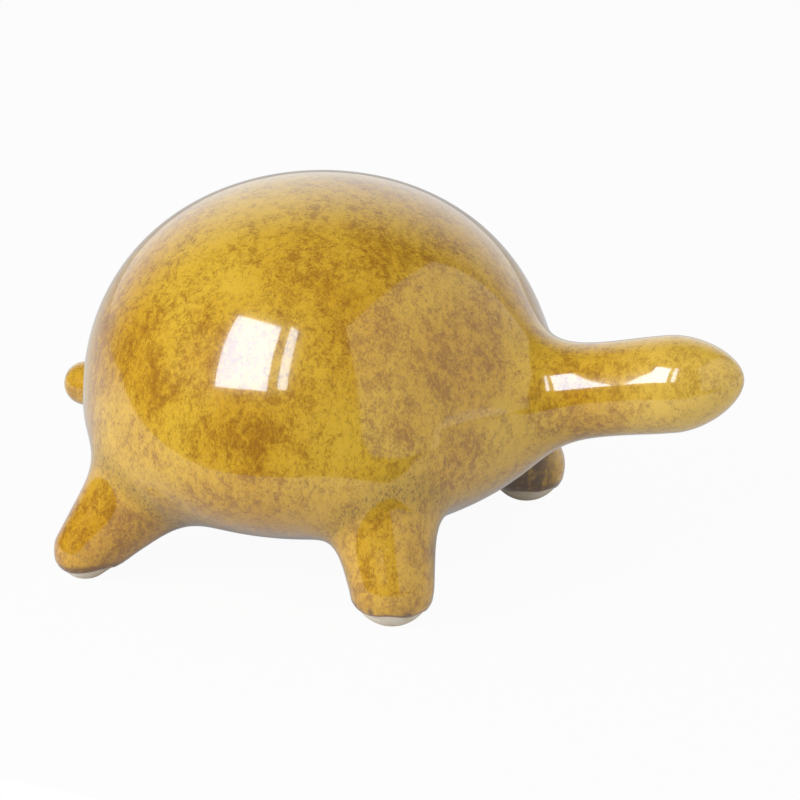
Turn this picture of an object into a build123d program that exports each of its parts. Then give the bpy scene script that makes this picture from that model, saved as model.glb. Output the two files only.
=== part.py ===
"""Turtle figurine in glazed stoneware.

A hollow body is luted together from two castings, a dome and a belly. The neck with its head, the tail and
the four legs are made apart, trimmed flat at the root and luted onto flat seats on the body, and the joint is
sponged to a round fillet. One coat of glaze covers them all, apart from the wiped feet and the vent's rim.

Millimetres and degrees. +X points to the head, +Y to the turtle's left and +Z up. The origin is on the
table, halfway between the tip of the tail and the tip of the nose.
"""

from build123d import *
from math import asin, cos, degrees, radians, sin, sqrt
import os

# The body is turned about an axis that leans back a little. It is widest at its ring.
body_radius = 77.5
ring_height = 49.0
dome_rise = 72.5
belly_drop = 40.0
dome_fullness_share = 0.59
belly_fullness_share = 0.57
body_lean = 2.0
body_wall = 5.0

# The vent in the belly lets the steam out in the kiln. Its rim is left bare.
vent_radius = 5.0
vent_rim = 1.5

# The neck runs straight up and out to the nose, and the head is its swollen end. Reaches run from its root,
# which is inside the ring. The pull shares say how far the neck's outline runs on at its root, its waist and
# the head before it turns.
neck_root_inset = 38.5
neck_root_rise = 2.6
neck_pitch = 12.6
neck_root_radius = 20.8
neck_waist_reach = 62.0
neck_waist_radius = 14.4
head_reach = 84.5
head_radius = 14.8
nose_reach = 107.8
neck_pull_shares = (1.02, 1.0, 1.5)
nose_fullness_share = 0.46
neck_fillet = 16.0

# The tail is a solid nub that sticks out level from under the ring.
tail_root_inset = 11.5
tail_drop = 8.8
tail_root_radius = 9.8
tail_tip_outset = 18.0
tail_tip_radius = 6.9
tail_fillet = 4.0

# The front legs are stout and nearly upright. Bearings turn from the head about the body's axis.
front_root_bearing = 46.1
front_root_inset = 22.0
front_root_drop = 4.5
front_root_radius = 18.5
front_foot_bearing = 48.3
front_foot_inset = 0.6
front_foot_radius = 12.7
front_fillet = 9.0

# The hind legs are slimmer and splay back and out, so their feet stand outside the ring.
hind_root_bearing = 126.2
hind_root_inset = 24.2
hind_root_drop = 9.2
hind_root_radius = 20.3
hind_foot_bearing = 131.1
hind_foot_outset = 6.1
hind_foot_radius = 9.6
hind_fillet = 7.5

# Every foot is sponged flat where it stands.
foot_flat_radius = 4.5

# The neck and legs are hollow castings. Each limb's seat lies a little outside the body's surface, and a
# hole pierced through the seat of a hollow limb joins its air to the body's.
limb_wall = 4.0
seat_rise = 2.5
air_hole_radius = 3.5

# The glaze is one coat, wiped off every foot up to the glaze line.
glaze_thickness = 0.6
glaze_line = 3.6

# How far a cutting shape passes what it cuts.
overrun = 1.0

os.makedirs("parts", exist_ok=True)


def neck_outline(skin):
    """Draw half the neck from the root to the head's widest ring, moved out by the skin."""
    root = (0, neck_root_radius + skin)
    waist = (neck_waist_reach, neck_waist_radius + skin)
    head = (head_reach, head_radius + skin)
    root_slope = (neck_waist_reach / 2, neck_waist_radius - neck_root_radius)
    Spline(root, waist, head, tangents=(root_slope, (1, 0), (1, 0)), tangent_scalars=neck_pull_shares)
    Polyline(head, (head_reach, 0), (0, 0), root)


def turned_cap(plane, radius, rise, fullness):
    """A cap turned from a quarter oval. It stands on the plane, or hangs below it by a negative rise."""
    with BuildPart() as turned:
        with BuildSketch(Plane(plane.origin, x_dir=plane.x_dir, z_dir=-plane.y_dir)):
            with BuildLine():
                oval = Bezier((radius, 0), (radius, fullness * rise), (fullness * radius, rise), (0, rise))
                Polyline(oval @ 1, (0, 0), oval @ 0)
            make_face()
        revolve(axis=Axis(plane.origin, plane.z_dir))
    return turned.part


def tapered_outline(length, root_radius, tip_radius, skin):
    """Draw half a cone that ends in a ball, from the root to the ball's tip, moved out by the skin."""
    taper = asin((root_radius - tip_radius) / length)
    root = Line((0, 0), (0, (root_radius + skin) / cos(taper)))
    ball = CenterArc((length, 0), tip_radius + skin, 0, 90 - degrees(taper))
    Line(root @ 1, ball @ 1)
    Line(ball @ 0, root @ 0)


class Limb:
    """A casting turned about the axis from its root, inside the body, to its tip.

    It is drawn in the middle or on the turtle's left, and its mirror image is the limb on the right.
    """

    def __init__(self, root, tip, root_radius, tip_radius, fillet_radius, hollow=True, right=False):
        self.root = root
        self.along = (tip - root).normalized()
        self.length = (tip - root).length
        self.root_radius = root_radius
        self.tip_radius = tip_radius
        self.fillet_radius = fillet_radius
        self.hollow = hollow
        self.right = right

    def on_side(self, part):
        """The part as it is drawn, or its mirror image for a limb on the right."""
        return mirror(part, about=Plane.XZ, mode=Mode.PRIVATE) if self.right else part

    def outline(self, skin):
        tapered_outline(self.length, self.root_radius, self.tip_radius, skin)

    def section(self):
        """The plane of the limb's outline, which is drawn underneath its axis."""
        return Plane(self.root, x_dir=self.along, z_dir=Vector(0, 0, 1).cross(self.along))

    def form(self, skin):
        """The limb's outside from its root to its tip, moved out by the skin."""
        with BuildPart() as turned:
            with BuildSketch(self.section()):
                with BuildLine():
                    self.outline(skin)
                make_face()
            revolve(axis=Axis(self.root, self.along))
        return self.on_side(turned.part)

    def seat(self):
        """The flat seat, level with the body's surface where the limb's axis leaves it, and a little out."""
        leaving, normal = body_form(0).find_intersection_points(Axis(self.root, self.along))[-1]
        return Plane(leaving, z_dir=normal).offset(seat_rise)

    def zone(self):
        """All the space above the seat that the limb and its fillet take."""
        with BuildPart() as space:
            with BuildSketch(self.seat()):
                Circle(self.root_radius + self.fillet_radius)
            extrude(amount=self.length + self.tip_radius)
        return self.on_side(space.part)

    def air_hole(self):
        """The hole pierced from the seat through the body's wall."""
        with BuildPart() as hole:
            with BuildSketch(self.seat()):
                Circle(air_hole_radius)
            extrude(amount=-seat_rise - 2 * body_wall)
        return self.on_side(hole.part)


class Neck(Limb):
    """The neck, turned from an outline of its own, with a blunt nose on the head's widest ring."""

    def outline(self, skin):
        neck_outline(skin)

    def form(self, skin):
        head = self.root + self.along * self.length
        head_plane = Plane(head, x_dir=self.section().y_dir, z_dir=self.along)
        nose_rise = nose_reach - head_reach + skin
        with BuildPart() as turned:
            add(super().form(skin))
            add(turned_cap(head_plane, self.tip_radius + skin, nose_rise, nose_fullness_share))
        return turned.part


# The body's axis stands where the tips of nose and tail come out equally far from the origin.
neck_along = Vector(cos(radians(neck_pitch)), 0, sin(radians(neck_pitch)))
nose_x = body_radius - neck_root_inset + nose_reach * neck_along.X
tail_tip_x = body_radius + tail_tip_outset
body_x = (tail_tip_x - nose_x) / 2
body_up = Vector(-sin(radians(body_lean)), 0, cos(radians(body_lean)))
body_plane = Plane((body_x, 0, ring_height), x_dir=(0, 1, 0), z_dir=body_up)


def round_body(bearing, radius, height):
    """The point at a bearing from the head and at a radius from the body's axis."""
    return Vector(body_x + radius * cos(radians(bearing)), radius * sin(radians(bearing)), height)


def foot_height(foot_radius):
    """How high a round foot's centre stands when its flat is on the table."""
    return sqrt(foot_radius**2 - foot_flat_radius**2)


neck_root = round_body(0, body_radius - neck_root_inset, ring_height + neck_root_rise)
head = neck_root + neck_along * head_reach
tail_root = round_body(180, body_radius - tail_root_inset, ring_height - tail_drop)
tail_ball = round_body(180, tail_tip_x - tail_tip_radius, ring_height - tail_drop)
limbs = {
    "neck_and_head": Neck(neck_root, head, neck_root_radius, head_radius, neck_fillet),
    "tail": Limb(tail_root, tail_ball, tail_root_radius, tail_tip_radius, tail_fillet, hollow=False),
}
for side, right in (("left", False), ("right", True)):
    limbs[f"front_leg_{side}"] = Limb(
        round_body(front_root_bearing, body_radius - front_root_inset, ring_height - front_root_drop),
        round_body(front_foot_bearing, body_radius - front_foot_inset, foot_height(front_foot_radius)),
        front_root_radius,
        front_foot_radius,
        front_fillet,
        right=right,
    )
    limbs[f"hind_leg_{side}"] = Limb(
        round_body(hind_root_bearing, body_radius - hind_root_inset, ring_height - hind_root_drop),
        round_body(hind_foot_bearing, body_radius + hind_foot_outset, foot_height(hind_foot_radius)),
        hind_root_radius,
        hind_foot_radius,
        hind_fillet,
        right=right,
    )


def body_form(skin):
    """The body's outside without its limbs, moved out by the skin."""
    with BuildPart() as turned:
        add(turned_cap(body_plane, body_radius + skin, dome_rise + skin, dome_fullness_share))
        add(turned_cap(body_plane, body_radius + skin, -belly_drop - skin, belly_fullness_share))
    return turned.part


def turtle_form(skin):
    """The whole outside, moved out by the skin.

    The limbs in the middle and on the left are filleted onto the body, and its left half is mirrored.
    """
    with BuildPart() as whole:
        add(body_form(skin))
        for limb in limbs.values():
            if not limb.right:
                add(limb.form(skin))
                fillet(whole.edges(Select.NEW), limb.fillet_radius - skin)
        split(bisect_by=Plane.XY, keep=Keep.TOP)
        split(bisect_by=Plane.XZ, keep=Keep.BOTTOM)
        mirror(about=Plane.XZ)
    return whole.part


clay = turtle_form(0)

# Each limb is the clay above its seat, and a hollow one has a bore that follows its own outline.
for name, limb in limbs.items():
    with BuildPart() as piece:
        add(clay)
        add(limb.zone(), mode=Mode.INTERSECT)
        if limb.hollow:
            add(limb.form(-limb_wall), mode=Mode.SUBTRACT)
    piece.part.label = name
    export_step(piece.part, f"parts/{name}.step")

# The body is the clay under the seats, hollowed, pierced for the limbs' air and vented below.
vent_plane = body_plane.offset(-belly_drop)
with BuildPart() as body:
    add(clay)
    for limb in limbs.values():
        add(limb.zone(), mode=Mode.SUBTRACT)
    add(body_form(-body_wall), mode=Mode.SUBTRACT)
    for limb in limbs.values():
        if limb.hollow:
            add(limb.air_hole(), mode=Mode.SUBTRACT)
    with BuildSketch(vent_plane.offset(-overrun)):
        Circle(vent_radius)
    extrude(amount=overrun + 2 * body_wall, mode=Mode.SUBTRACT)

# The two body castings meet in a flat luted seam at the ring.
for name, half in (("upper_body", Keep.TOP), ("lower_body", Keep.BOTTOM)):
    with BuildPart() as casting:
        add(body.part)
        split(bisect_by=body_plane, keep=half)
    casting.part.label = name
    export_step(casting.part, f"parts/{name}.step")

# The glaze is the thin skin over the clay, above the glaze line and clear of the vent's rim.
with BuildPart() as glaze_coat:
    add(turtle_form(glaze_thickness))
    add(clay, mode=Mode.SUBTRACT)
    split(bisect_by=Plane.XY.offset(glaze_line), keep=Keep.TOP)
    with BuildSketch(vent_plane.offset(-glaze_thickness - overrun)):
        Circle(vent_radius + vent_rim)
    extrude(amount=glaze_thickness + 2 * overrun, mode=Mode.SUBTRACT)
glaze_coat.part.label = "glaze_coat"
export_step(glaze_coat.part, "parts/glaze_coat.step")
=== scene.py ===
"""Turtle figurine in glazed stoneware, on a pale table in a small studio.

Metres. +X points to the head, +Y to the turtle's left and +Z up, as in the frame. The sizes of the forms are
written in millimetres, as a potter would measure them, and turned into metres where they meet the mesh.
"""

from math import asin, cos, pi, radians, sin, sqrt

import bmesh
import bpy
import numpy as np
from mathutils import Matrix, Vector


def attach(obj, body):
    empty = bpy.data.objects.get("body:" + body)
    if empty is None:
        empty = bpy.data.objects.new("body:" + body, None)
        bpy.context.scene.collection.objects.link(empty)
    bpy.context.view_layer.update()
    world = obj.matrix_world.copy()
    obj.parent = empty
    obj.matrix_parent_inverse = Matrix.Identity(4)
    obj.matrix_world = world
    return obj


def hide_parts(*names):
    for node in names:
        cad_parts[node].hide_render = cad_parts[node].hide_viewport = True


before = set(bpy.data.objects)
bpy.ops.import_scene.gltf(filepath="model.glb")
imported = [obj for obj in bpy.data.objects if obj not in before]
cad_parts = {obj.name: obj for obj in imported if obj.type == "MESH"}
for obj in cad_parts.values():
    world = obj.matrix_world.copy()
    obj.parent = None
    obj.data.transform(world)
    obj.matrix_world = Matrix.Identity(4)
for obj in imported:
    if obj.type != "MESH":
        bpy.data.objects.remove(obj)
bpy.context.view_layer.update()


# The castings: the dome and the belly of the body, and the neck, tail and legs luted to them. Each is cast
# in a pale buff stoneware clay, sponged smooth and fired. The clay stays bare where the glaze was wiped off,
# at the feet and round the vent: matte, cream, a little gritty, and toasted in patches.
class Tone:
    """A value that changes over a surface. Sums on it add Math nodes to its finish."""

    def __init__(self, finish, socket):
        self.finish = finish
        self.socket = socket

    def maths(self, operation, *values):
        return self.finish.node("ShaderNodeMath", {"operation": operation}, dict(enumerate(values)))

    def __add__(self, other):
        return self.maths("ADD", self, other)

    def __radd__(self, other):
        return self.maths("ADD", other, self)

    def __sub__(self, other):
        return self.maths("SUBTRACT", self, other)

    def __rsub__(self, other):
        return self.maths("SUBTRACT", other, self)

    def __mul__(self, other):
        return self.maths("MULTIPLY", self, other)

    def __rmul__(self, other):
        return self.maths("MULTIPLY", other, self)

    def larger(self, other):
        return self.maths("MAXIMUM", self, other)

    def unsigned(self):
        return self.maths("ABSOLUTE", self)

    def rising(self, low, high):
        """Nought at the low value, one at the high one, and smooth between."""
        settings = {"interpolation_type": "SMOOTHSTEP", "clamp": True}
        return self.finish.node("ShaderNodeMapRange", settings, {"Value": self, "From Min": low, "From Max": high})

    def falling(self, low, high):
        """One at the low value, nought at the high one, and smooth between."""
        return 1.0 - self.rising(low, high)

    def along(self, axis):
        """How far a place or a direction goes along X, Y or Z."""
        return self.finish.node("ShaderNodeSeparateXYZ", {}, {"Vector": self}, out=axis)

    def towards(self, way):
        """How far a direction points this way."""
        settings = {"operation": "DOT_PRODUCT"}
        return self.finish.node("ShaderNodeVectorMath", settings, {0: self, 1: way}, out="Value")


class Finish:
    """The nodes of a material, or of the world, which are added one by one."""

    def __init__(self, owner):
        owner.use_nodes = True
        self.tree = owner.node_tree
        self.tree.nodes.clear()

    def node(self, kind, settings, sockets, out=0):
        """Add a node: its settings come first, then the values or links of its sockets."""
        made = self.tree.nodes.new(kind)
        for key, value in settings.items():
            setattr(made, key, value)
        for key, value in sockets.items():
            if isinstance(value, Tone):
                self.tree.links.new(value.socket, made.inputs[key])
            else:
                made.inputs[key].default_value = value
        return Tone(self, made.outputs[out]) if made.outputs else None

    def place(self):
        """Where a point is on the object."""
        return self.node("ShaderNodeTexCoord", {}, {}, out="Object")

    def ray(self, kind):
        """One for what a camera, glossy or transmission ray sees, nought for the rest."""
        return self.node("ShaderNodeLightPath", {}, {}, out=f"Is {kind} Ray")

    def kept(self, name):
        """A number that the mesh keeps at each of its points."""
        return self.node("ShaderNodeAttribute", {"attribute_name": name}, {}, out="Fac")

    def stretched(self, place, scale):
        return self.node("ShaderNodeMapping", {}, {"Vector": place, "Scale": scale})

    def noise(self, place, scale, detail=3.0, rough=0.5, distortion=0.0):
        """Cloudy noise from nought to one, with about this many clouds to a metre."""
        sockets = {"Vector": place, "Scale": scale, "Detail": detail, "Roughness": rough, "Distortion": distortion}
        return self.node("ShaderNodeTexNoise", {}, sockets)

    def cells(self, place, scale):
        """How far a point is from the nearest speck."""
        return self.node("ShaderNodeTexVoronoi", {}, {"Vector": place, "Scale": scale, "Randomness": 1.0})

    def mixed(self, amount, first, second):
        """Two colours mixed: the first where the amount is nought, the second where it is one."""
        first, second = (colour if isinstance(colour, Tone) else (*colour, 1.0) for colour in (first, second))
        settings = {"data_type": "RGBA", "clamp_factor": True}
        return self.node("ShaderNodeMix", settings, {0: amount, 6: first, 7: second}, out=2)

    def between(self, amount, first, second):
        """Two numbers mixed in the same way."""
        return self.node("ShaderNodeMix", {"data_type": "FLOAT"}, {0: amount, 2: first, 3: second})

    def bumped(self, height, depth, strength):
        """The way the surface faces, with a bump this many metres deep."""
        return self.node("ShaderNodeBump", {}, {"Height": height, "Distance": depth, "Strength": strength})

    def surface(self, **sockets):
        """End with one shader, given what its sockets hold."""
        named = {key.replace("_", " "): value for key, value in sockets.items()}
        self.ended(self.node("ShaderNodeBsdfPrincipled", {}, named))

    def ended(self, shader, kind="ShaderNodeOutputMaterial"):
        self.node(kind, {}, {"Surface": shader})


def bare_clay():
    """Buff stoneware, bare: a cream body with fine grog, paler where it was sponged and toasted in patches."""
    cream, sponged = (0.80, 0.70, 0.55), (0.88, 0.81, 0.69)
    toast, grog = (0.66, 0.52, 0.33), (0.50, 0.38, 0.26)
    material = bpy.data.materials.new("bare_stoneware_clay")
    clay = Finish(material)
    place = clay.place()
    clouds = clay.noise(place, 90.0)
    scorch = clay.noise(place, 160.0, detail=4.0)
    grit = clay.noise(place, 2600.0, detail=2.0)
    specks = clay.cells(place, 700.0).falling(0.12, 0.2)
    base = clay.mixed(clouds.rising(0.35, 0.7), cream, sponged)
    base = clay.mixed(scorch.rising(0.55, 0.8) * 0.5, base, toast)
    base = clay.mixed(specks * 0.35, base, grog)
    bump = clay.bumped(grit + clay.noise(place, 900.0), depth=0.00005, strength=0.6)
    clay.surface(Base_Color=base, Roughness=0.72 + grit * 0.2, Normal=bump)
    return material


clay_finish = bare_clay()
castings = ["upper_body", "lower_body", "neck_and_head", "tail"]
castings += [f"{end}_leg_{side}" for end in ("front", "hind") for side in ("left", "right")]
for name in castings:
    casting = bpy.data.objects[name]
    for slot in casting.material_slots:
        slot.material = clay_finish


# The glaze: one coat of a glassy amber iron glaze over the whole turtle, poured on and wiped off the feet and
# the vent's rim before firing. It follows the clay's forms, runs round in the joints, gathers into a soft
# bead at its lower edge, and breaks into fine brown specks and clouds as its iron comes out in the kiln.
mm = 0.001
glaze_over_clay = 0.595
body_ring = (-24.352, 0.0, 49.0)
hidden_root = 20.0


def curve(points, count):
    """Points on the Bezier curve with these handles, end to end."""
    t = np.linspace(0, 1, count)[:, None]
    points = np.array(points, float)[:, None]
    while len(points) > 1:
        points = points[:-1] * (1 - t) + points[1:] * t
    return points[0]


class Turned:
    """A form turned on a wheel: an axis, and an outline of reaches along it and radii."""

    def __init__(self, start, along, *runs):
        self.start = np.array(start, float)
        self.along = np.array(along, float) / np.linalg.norm(along)
        first = runs[0][0]
        if first[1] > 0:
            runs = (np.linspace((first[0], 0), first, 40), *runs)
        self.outline = np.vstack([runs[0]] + [run[1:] for run in runs[1:]])
        slope = np.gradient(self.outline, axis=0)
        out = np.stack([-slope[:, 1], slope[:, 0]], -1)
        self.out = out / np.linalg.norm(out, axis=1, keepdims=True)

    def outside(self, points):
        """How far each point is outside the form, the way out there, and how far it is along the axis."""
        from_start = points - self.start
        reach = from_start @ self.along
        across = from_start - reach[:, None] * self.along
        radius = np.linalg.norm(across, axis=1)
        across = across / np.maximum(radius, 1e-6)[:, None]
        flat = np.stack([reach, radius], -1)
        near = np.empty(len(points), int)
        batch = 4000
        for first in range(0, len(points), batch):
            part = flat[first:first + batch]
            gaps = (part[:, :1] - self.outline[:, 0]) ** 2 + (part[:, 1:] - self.outline[:, 1]) ** 2
            near[first:first + batch] = gaps.argmin(axis=1)
        out = self.out[near]
        distance = ((flat - self.outline[near]) * out).sum(axis=1)
        return distance, out[:, :1] * self.along + out[:, 1:] * across, reach

    def mesh(self, rough, hand=1):
        """Turn the outline into a closed shell, or its mirror image where the hand is minus one."""
        along = Vector(self.along) * Vector((1, hand, 1))
        side = along.orthogonal().normalized()
        start = Vector(self.start) * Vector((1, hand, 1))
        every = 8
        drawn = [*self.outline[::every], self.outline[-1]]
        made = [rough.verts.new((start + along * reach + side * radius) * mm) for reach, radius in drawn]
        edges = [rough.edges.new(pair) for pair in zip(made, made[1:])]
        bmesh.ops.spin(
            rough, geom=made + edges, cent=start * mm, axis=along, angle=2 * pi, steps=64,
            use_merge=True, dvec=(0, 0, 0)
        )


def turned_body():
    """The body: a dome and a belly, each from a quarter oval, on an axis that leans back a little."""
    lean = radians(2.0)
    radius = 77.5 + glaze_over_clay
    rise, cap_fullness = 72.5 + glaze_over_clay, 0.59
    drop, bowl_fullness = 40.0 + glaze_over_clay, 0.57
    bowl = curve([(-drop, 0), (-drop, bowl_fullness * radius), (-bowl_fullness * drop, radius), (0, radius)], 260)
    cap = curve([(0, radius), (cap_fullness * rise, radius), (rise, cap_fullness * radius), (rise, 0)], 300)
    return Turned(body_ring, (-sin(lean), 0, cos(lean)), bowl, cap)


def turned_neck():
    """The neck and head, which rise forwards: a waist, a slightly swollen head and a blunt nose."""
    start, pitch = (14.648, 0.0, 51.6), radians(12.6)
    root, waist, head = (radius + glaze_over_clay for radius in (20.8, 14.4, 14.8))
    waist_reach, head_reach, nose_reach, nose_fullness = 62.0, 84.5, 107.8 + glaze_over_clay, 0.46
    between = (waist_reach + head_reach) / 2
    brow = head_reach + nose_fullness * (nose_reach - head_reach)
    flare = (root - waist) / (waist_reach / 2)
    inside = curve([(-hidden_root, root + flare * hidden_root), (0, root)], 60)
    neck = curve([(0, root), (waist_reach / 2, waist), (waist_reach, waist)], 160)
    swell = curve([(waist_reach, waist), (between, waist), (between, head), (head_reach, head)], 120)
    nose = curve([(head_reach, head), (brow, head), (nose_reach, nose_fullness * head), (nose_reach, 0)], 160)
    return Turned(start, (cos(pitch), 0, sin(pitch)), inside, neck, swell, nose)


def tapered(root, tip, root_radius, tip_radius):
    """A cone that ends in a ball. It starts well inside the body, behind its root."""
    root, tip = np.array(root, float), np.array(tip, float)
    length = np.linalg.norm(tip - root)
    taper = asin((root_radius - tip_radius) / length)
    root_radius += glaze_over_clay
    tip_radius += glaze_over_clay
    ends = np.array([-hidden_root, length + tip_radius * sin(taper)])
    end_radii = root_radius / cos(taper) - np.tan(taper) * ends
    cone = np.stack([np.linspace(*ends, 120), np.linspace(*end_radii, 120)], -1)
    turn = np.linspace(pi / 2 - taper, 0, 120)
    ball = np.stack([length + tip_radius * np.cos(turn), tip_radius * np.sin(turn)], -1)
    return Turned(root, tip - root, cone, ball)


def about_body(bearing, radius, height):
    """The point at a bearing from the head, and at a radius from the body's axis."""
    turn = radians(bearing)
    return (body_ring[0] + radius * cos(turn), radius * sin(turn), height)


def foot_centre(radius):
    """How high a foot's ball is, so that it stands on a flat with a radius of 4.5 mm."""
    foot_flat = 4.5
    return sqrt(radius ** 2 - foot_flat ** 2)


# The limbs of the left side. A soft fairing of this width runs each of them into the body. On all but the tail
# it fades in along the limb, from inside the body to just past its root, so that the form's hidden end leaves no
# crease.
body = turned_body()
limbs = {
    "neck": turned_neck(),
    "tail": tapered(about_body(180, 66.0, 40.2), about_body(180, 88.6, 40.2), 9.8, 6.9),
    "front": tapered(about_body(46.1, 55.5, 44.5), about_body(48.3, 76.9, foot_centre(12.7)), 18.5, 12.7),
    "hind": tapered(about_body(126.2, 53.3, 39.8), about_body(131.1, 83.6, foot_centre(9.6)), 20.3, 9.6),
}
fairings = {"neck": 28.0, "tail": 7.0, "front": 16.0, "hind": 14.0}
fairing_starts, fairing_full = -14.0, 4.0


def glaze_surface(points):
    """How far each point is outside the glaze, the way out, and how deep it is in a leg's joint."""
    sided = points.copy()
    sided[:, 1] = np.abs(sided[:, 1])
    away, out, _ = body.outside(sided)
    joint = np.zeros(len(points))
    for name, form in limbs.items():
        other, other_out, reach = form.outside(sided)
        width = fairings[name]
        if name != "tail":
            grown = np.clip((reach - fairing_starts) / (fairing_full - fairing_starts), 0.02, 1.0)
            width = width * grown ** 2 * (3 - 2 * grown)
        gap = np.maximum(width - np.abs(away - other), 0) / width
        share = np.where(away < other, gap ** 2 / 2, 1 - gap ** 2 / 2)[:, None]
        out = out * (1 - share) + other_out * share
        away = np.minimum(away, other) - gap ** 3 * width / 6
        if name in ("front", "hind"):
            joint = np.maximum(joint, gap)
    out[:, 1] = np.where(points[:, 1] < 0, -out[:, 1], out[:, 1])
    return away, out, joint


def settled(points, steps=5, level=False):
    """Points moved onto the glaze's surface. Those that are level keep their height."""
    for step in range(steps):
        away, out, _ = glaze_surface(points)
        out[:, 2] = np.where(level, 0.0, out[:, 2])
        points = points - out * (away / (out ** 2).sum(axis=1))[:, None]
    return points


def outwards(points):
    """The way straight out of the glaze at each point."""
    out = glaze_surface(points)[1]
    return out / np.linalg.norm(out, axis=1, keepdims=True)


# A rough of the forms goes into one closed skin, which is then drawn onto the true surface.
rough = bmesh.new()
body.mesh(rough)
for name, form in limbs.items():
    form.mesh(rough)
    if name in ("front", "hind"):
        form.mesh(rough, hand=-1)
bmesh.ops.remove_doubles(rough, verts=rough.verts, dist=1e-6)
bmesh.ops.recalc_face_normals(rough, faces=rough.faces)
rough_mesh = bpy.data.meshes.new("glaze_rough")
rough.to_mesh(rough_mesh)
rough.free()
rough_piece = bpy.data.objects.new("glaze_rough", rough_mesh)
bpy.context.scene.collection.objects.link(rough_piece)
one_skin = rough_piece.modifiers.new("one_skin", "REMESH")
one_skin.mode = "VOXEL"
one_skin.voxel_size = 1.6 * mm
bpy.context.view_layer.update()
skin_mesh = bpy.data.meshes.new_from_object(rough_piece.evaluated_get(bpy.context.evaluated_depsgraph_get()))
bpy.data.objects.remove(rough_piece)
glaze = bmesh.new()
glaze.from_mesh(skin_mesh)


def places(verts):
    """Where these vertices are, in millimetres."""
    return np.array([vert.co for vert in verts], float).reshape(-1, 3) / mm


def put(verts, points):
    for vert, point in zip(verts, points):
        vert.co = point * mm


def evened(verts, rounds, steps):
    """Even out the skin there, and draw it back onto the glaze's surface each time."""
    for smoothing in range(rounds):
        bmesh.ops.smooth_vert(glaze, verts=verts, factor=0.5, use_axis_x=True, use_axis_y=True, use_axis_z=True)
        put(verts, settled(places(verts), steps))


evened(glaze.verts, rounds=3, steps=3)

# Wipe the feet: the glaze stops at a line that wanders up and down a little round each foot, higher on the
# front feet than on the hind ones.
front_line, hind_line = 6.4, 4.3
foot_height = 15.0
for end, line in ((1, front_line), (-1, hind_line)):
    foot = [vert for vert in glaze.verts if vert.co.z < foot_height * mm and vert.co.x * end > 0]
    foot_edges = sorted({edge for vert in foot for edge in vert.link_edges}, key=lambda edge: edge.index)
    foot_faces = sorted({face for vert in foot for face in vert.link_faces}, key=lambda face: face.index)
    bmesh.ops.bisect_plane(
        glaze, geom=foot + foot_edges + foot_faces, plane_co=(0, 0, line * mm), plane_no=(0, 0, 1), clear_inner=True
    )


def edge_height(points):
    """How high the glaze's lower edge is at each point of the foot it is on."""
    line = np.where(points[:, 0] > 0, front_line, hind_line)
    wander = 0.50 * np.sin(points[:, 0] * 0.42 + 0.8) + 0.40 * np.sin(points[:, 1] * 0.61 + points[:, 0] * 0.03)
    return line + wander


# Wipe the vent's rim, under the belly. Its axis is the body's.
vent_centre = np.array(body_ring) - 40.6 * body.along
vent_clear = 6.7
belly_height = 20.0
feet_from_vent, far_away = 50.0, 1e3


def from_vent(points):
    """How far each point under the belly is from the vent's axis, and the way out from it."""
    gap = points - vent_centre
    gap = gap - (gap @ body.along)[:, None] * body.along
    apart = np.linalg.norm(gap, axis=1)
    apart = np.where(points[:, 2] < belly_height, apart, far_away)
    return apart, gap / np.maximum(apart, 1e-6)[:, None]


middles = np.array([face.calc_center_median() for face in glaze.faces], float) / mm
in_vent = from_vent(middles)[0] < vent_clear
bmesh.ops.delete(glaze, geom=[face for face, gone in zip(glaze.faces, in_vent) if gone], context="FACES")

# Bring both kinds of edge onto their lines, and even out the skin beside them.
rim = [vert for vert in glaze.verts if vert.is_boundary]
at = places(rim)
apart, way = from_vent(at)
on_foot = apart > feet_from_vent
at = np.where(on_foot[:, None], at, settled(vent_centre + way * vent_clear))
at[on_foot, 2] = edge_height(at[on_foot])
put(rim, settled(at, level=on_foot))
inner = [vert for vert in glaze.verts if not vert.is_boundary]
at = places(inner)
apart, way = from_vent(at)
beside_vent, beside_foot = 11.0, 12.0
beside = (apart < beside_vent) | ((at[:, 2] < beside_foot) & (apart > feet_from_vent))
evened([vert for vert, close in zip(inner, beside) if close], rounds=6, steps=2)

# Let the glaze gather a little above its edge, then round the edge down to the clay.
gather, gather_height, gather_spread = 0.22, 1.3, 1.1
skin_verts = glaze.verts[:]
at = places(skin_verts)
above = at[:, 2] - edge_height(at)
gathered = gather * np.exp(-((above - gather_height) / gather_spread) ** 2)
put(skin_verts, at + outwards(at) * gathered[:, None])
bead, bead_steps = 0.66, 4
rim_edges = [edge for edge in glaze.edges if edge.is_boundary]
rim = [vert for vert in glaze.verts if vert.is_boundary]
rim_at = places(rim)
out = outwards(rim_at)
apart, way = from_vent(rim_at)
onward = np.where((apart > feet_from_vent)[:, None], (0.0, 0.0, -1.0), -way)
onward = onward - (onward * out).sum(axis=1)[:, None] * out
onward /= np.linalg.norm(onward, axis=1, keepdims=True)
current = {vert: row for row, vert in enumerate(rim)}
for step in range(1, bead_steps + 1):
    turn = step * pi / (2 * bead_steps)
    grown = bmesh.ops.extrude_edge_only(glaze, edges=rim_edges)["geom"]
    rim_edges = [item for item in grown if isinstance(item, bmesh.types.BMEdge) and item.is_boundary]
    follow = {}
    for vert in grown:
        if isinstance(vert, bmesh.types.BMVert):
            before = [edge.other_vert(vert) for edge in vert.link_edges if edge.other_vert(vert) in current]
            follow[vert] = current[before[-1]]
    for vert, row in follow.items():
        vert.co = (rim_at[row] + onward[row] * bead * sin(turn) - out[row] * bead * (1 - cos(turn))) * mm
    current = follow

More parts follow.
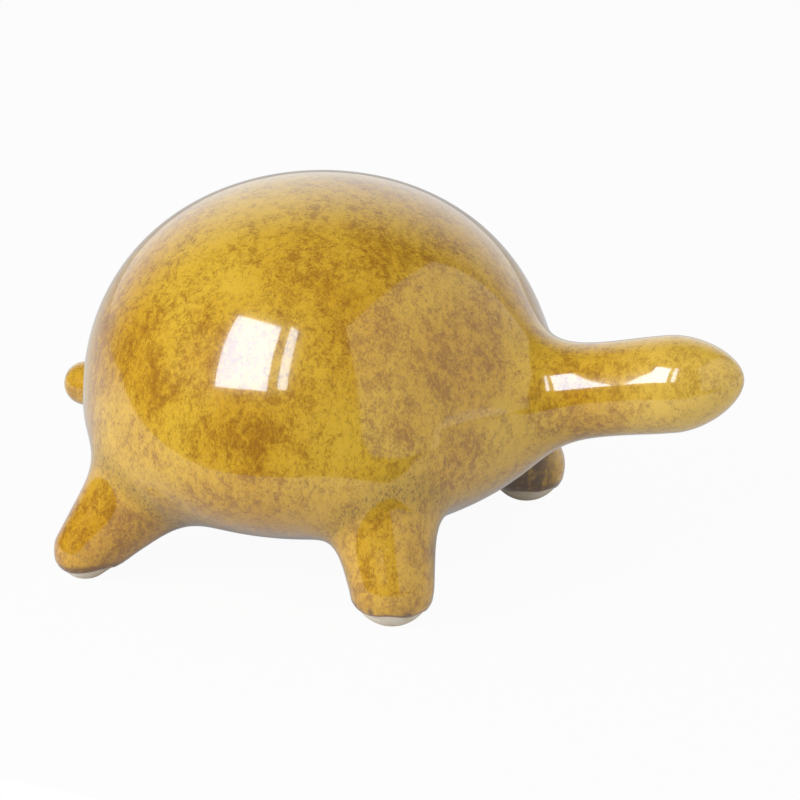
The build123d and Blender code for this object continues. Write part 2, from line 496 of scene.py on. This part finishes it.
bmesh.ops.recalc_face_normals(glaze, faces=glaze.faces)
glaze_mesh = bpy.data.meshes.new("glaze")
glaze.to_mesh(glaze_mesh)
glaze.free()
at = places(glaze_mesh.vertices)
for name, values in (("in_joint", glaze_surface(at)[2]), ("above_edge", at[:, 2] - edge_height(at))):
    glaze_mesh.attributes.new(name, "FLOAT", "POINT").data.foreach_set("value", values.astype(np.float32))
glaze_mesh.shade_smooth()
glaze_piece = bpy.data.objects.new("amber_glaze", glaze_mesh)
bpy.context.scene.collection.objects.link(glaze_piece)
thickness = glaze_piece.modifiers.new("thickness", "SOLIDIFY")
thickness.thickness = 0.45 * mm
thickness.offset = -1.0


def amber_glaze():
    """Amber iron glaze: mustard yellow, flecked with brown that crowds into clouds, and glassy all over."""
    mustard, ochre, straw, honey = (0.70, 0.385, 0.022), (0.80, 0.50, 0.044), (0.88, 0.58, 0.085), (0.64, 0.30, 0.016)
    iron, cream, haze_brown = (0.25, 0.085, 0.012), (0.84, 0.58, 0.14), (0.38, 0.150, 0.016)
    olive, dark_speck, painted_shade = (0.36, 0.22, 0.012), (0.12, 0.055, 0.014), (0.075, 0.038, 0.018)
    gathered_brown, edge_brown = (0.13, 0.055, 0.022), (0.17, 0.065, 0.016)
    material = bpy.data.materials.new("amber_iron_glaze")
    amber = Finish(material)
    place = amber.place()
    run = amber.stretched(place, (1.0, 1.0, 0.7))
    clouds = amber.noise(run, 82.0, detail=5.0, rough=0.62, distortion=0.4)
    patches = amber.noise(place, 17.0)
    flecks = amber.noise(run, 1350.0, detail=4.0, rough=0.65, distortion=0.8)
    tufts = amber.noise(run, 380.0, detail=4.0, rough=0.6, distortion=0.6)

    # The ground is yellow in broad patches, paler where it ran thin on the head and deeper low on the body.
    thin = place.along("X").rising(0.068, 0.100)
    low = place.along("Z").falling(0.030, 0.062)
    base = amber.mixed(patches.rising(0.38, 0.62), mustard, ochre)
    base = amber.mixed(thin * 0.9, base, straw)
    base = amber.mixed(low * 0.35, base, honey)

    # The iron comes out in brown flecks and tufts, more of them in the clouds, and pale crystals between.
    crowd = (clouds - 0.5) * 1.0 + (patches - 0.5) * -0.7 - thin * 0.16
    brown = (flecks * 0.58 + tufts * 0.42 + crowd * 0.30).rising(0.41, 0.65)
    base = amber.mixed(brown * (0.72 - thin * 0.15), base, iron)
    pale = (amber.noise(run, 1700.0, rough=0.6) - crowd * 0.2).rising(0.54, 0.72)
    base = amber.mixed(pale * 0.3, base, cream)
    haze = (clouds * 0.5 + tufts * 0.5 + (patches - 0.5) * -0.3).rising(0.49, 0.66)
    base = amber.mixed(haze * (1.0 - thin) * 0.34, base, haze_brown)

    # It pools in the legs' joints, with dark specks in it. Low on the legs' inner sides, under the belly, a painted
    # shade darkens it nearly to black.
    pooled = amber.kept("in_joint").rising(0.55, 1.0)
    base = amber.mixed(pooled * 0.40, base, olive)
    specks = (amber.noise(run, 1100.0, rough=0.6) + pooled * 0.08).rising(0.60, 0.70)
    base = amber.mixed(specks * pooled * 0.6, base, dark_speck)
    # Painted shade: the legs' inner sides low down are darkened, in a mottle, for the belly's shadow over them.
    painted_leg_shade = place.along("Y").unsigned().falling(0.046, 0.058) * place.along("Z").falling(0.018, 0.034)
    base = amber.mixed(painted_leg_shade * (tufts.rising(0.30, 0.55) * 0.4 + 0.5), base, painted_shade)

    # Where it gathers above its edge it is brown in places, and the edge itself is a brown line.
    above_edge = amber.kept("above_edge")
    gathering = amber.noise(place, 190.0, detail=2.0).rising(0.46, 0.58)
    base = amber.mixed(above_edge.falling(1.0, 3.2) * gathering * 0.80, base, gathered_brown)
    base = amber.mixed(above_edge.falling(0.0, 0.9) * 0.75, base, edge_brown)

    bump = amber.bumped(amber.noise(place, 70.0, detail=2.0), depth=0.00012, strength=0.35)
    amber.surface(
        Base_Color=base, Roughness=0.14, IOR=1.5, Coat_Weight=1.0, Coat_Roughness=0.025, Coat_IOR=1.55, Normal=bump
    )
    return material


glaze_mesh.materials.append(amber_glaze())
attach(glaze_piece, "root")
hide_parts("glaze_coat")


# The table: a sheet of white laminate that the turtle stands on, matte and plain. It ends a hand's width in
# front of the turtle and runs on well behind it.
table = bmesh.new()
bmesh.ops.create_grid(table, x_segments=1, y_segments=1, size=0.5)
bmesh.ops.scale(table, vec=(8.0, 5.2, 1.0), verts=table.verts)
bmesh.ops.translate(table, vec=(0.0, 2.4, 0.0), verts=table.verts)
table_mesh = bpy.data.meshes.new("table")
table.to_mesh(table_mesh)
table.free()
table_piece = bpy.data.objects.new("table", table_mesh)
bpy.context.scene.collection.objects.link(table_piece)
laminate = bpy.data.materials.new("white_table")
white = Finish(laminate)
matte = white.node("ShaderNodeBsdfDiffuse", {}, {"Color": (0.66, 0.66, 0.67, 1.0)})
glow = white.node("ShaderNodeEmission", {}, {"Color": (1.0, 1.0, 1.0, 1.0), "Strength": 1.0})
seen = white.ray("Camera").larger(white.ray("Transmission"))
glowing = seen * 0.95 + white.ray("Glossy") * 0.2
white.ended(white.node("ShaderNodeMixShader", {}, {0: glowing, 1: matte, 2: glow}))
table_mesh.materials.append(laminate)


# The lamps: a softbox on the turtle's right that lights it and isn't mirrored, a window of two panes beyond
# it that is mirrored in the glaze and gives no light, and a pale card that stands past the head.
def lamp(name, centre, across, up, size, radiance, colour=(1.0, 1.0, 1.0), mirrored=True, lights=True):
    """A flat lamp, held by its centre and two sides. Its radiance is how bright it looks from the front."""
    width, height = size
    light = bpy.data.lights.new(name, "AREA")
    light.shape = "RECTANGLE"
    light.size, light.size_y = width, height
    light.energy = radiance * width * height * pi
    light.color = colour
    held = bpy.data.objects.new(name, light)
    bpy.context.scene.collection.objects.link(held)
    across = Vector(across).normalized()
    up = (Vector(up) - Vector(up).dot(across) * across).normalized()
    turned = Matrix((across, up, across.cross(up))).transposed()
    held.matrix_world = Matrix.Translation(centre) @ turned.to_4x4()
    held.visible_camera = False
    held.visible_glossy = mirrored
    held.visible_diffuse = lights


lamp(
    "softbox", centre=(-0.66, -0.84, 0.52), across=(0.79, -0.61, 0.0), up=(0.25, 0.32, 0.91),
    size=(0.60, 0.60), radiance=7.6, mirrored=False
)
daylight = (0.62, 0.77, 1.0)
lamp(
    "window", centre=(-0.321, -1.019, 0.872), across=(0.921, -0.350, 0.168), up=(-0.029, 0.369, 0.929),
    size=(0.575, 0.884), radiance=10.0, colour=daylight, lights=False
)
lamp(
    "window_side", centre=(0.130, -1.324, 1.135), across=(0.768, -0.587, 0.257), up=(-0.255, 0.526, 0.811),
    size=(0.180, 1.040), radiance=8.0, colour=daylight, lights=False
)
lamp(
    "card", centre=(0.51, 0.11, 0.55), across=(0.0, 1.0, 0.0), up=(0.0, 0.0, 1.0),
    size=(1.36, 1.06), radiance=0.58
)


# The studio round the table: pale walls that light the turtle evenly, a little less from above and from past
# the head. The camera sees them white. The glaze mirrors the far walls bright and the near ones dark.
world = bpy.data.worlds.new("studio")
bpy.context.scene.world = world
studio = Finish(world)
way = studio.node("ShaderNodeTexCoord", {}, {}, out="Generated")
far_walls = way.towards((-0.38, 0.87, 0.0)).rising(0.36, 0.93) * 0.90 + 0.02
upper_half = way.along("Z").rising(-0.05, 0.05)
overhead = way.along("Z").rising(0.35, 0.90)
past_head = way.towards((0.85, 0.53, 0.0)).rising(-0.2, 0.9)
room = upper_half * 0.40 + 0.22 - overhead * 0.16 - past_head * 0.20
strength = studio.between(studio.ray("Glossy"), room, far_walls)
strength = studio.between(studio.ray("Camera").larger(studio.ray("Transmission")), strength, 1.0)
sky = studio.node("ShaderNodeBackground", {}, {"Color": (1.0, 1.0, 1.0, 1.0), "Strength": strength})
studio.ended(sky, kind="ShaderNodeOutputWorld")


# The camera: a long lens on a stand, a metre away on the turtle's right front. It looks a little down at the
# turtle, which fills most of the picture.
camera_turn, camera_rise = radians(23.66), radians(20.01)
aim = Vector((0.00439, 0.0, 0.05115))
back = Vector((sin(camera_turn) * cos(camera_rise), -cos(camera_turn) * cos(camera_rise), sin(camera_rise)))
across = Vector((cos(camera_turn), sin(camera_turn), 0.0))
lens = bpy.data.cameras.new("camera")
lens.lens = 137.7
lens.sensor_width = 36.0
lens.clip_start, lens.clip_end = 0.01, 50.0
camera = bpy.data.objects.new("camera", lens)
bpy.context.scene.collection.objects.link(camera)
facing = Matrix((across, back.cross(across), back)).transposed().to_4x4()
camera.matrix_world = Matrix.Translation(aim + back) @ facing
bpy.context.scene.camera = camera
bpy.context.scene.view_settings.view_transform = "Standard"
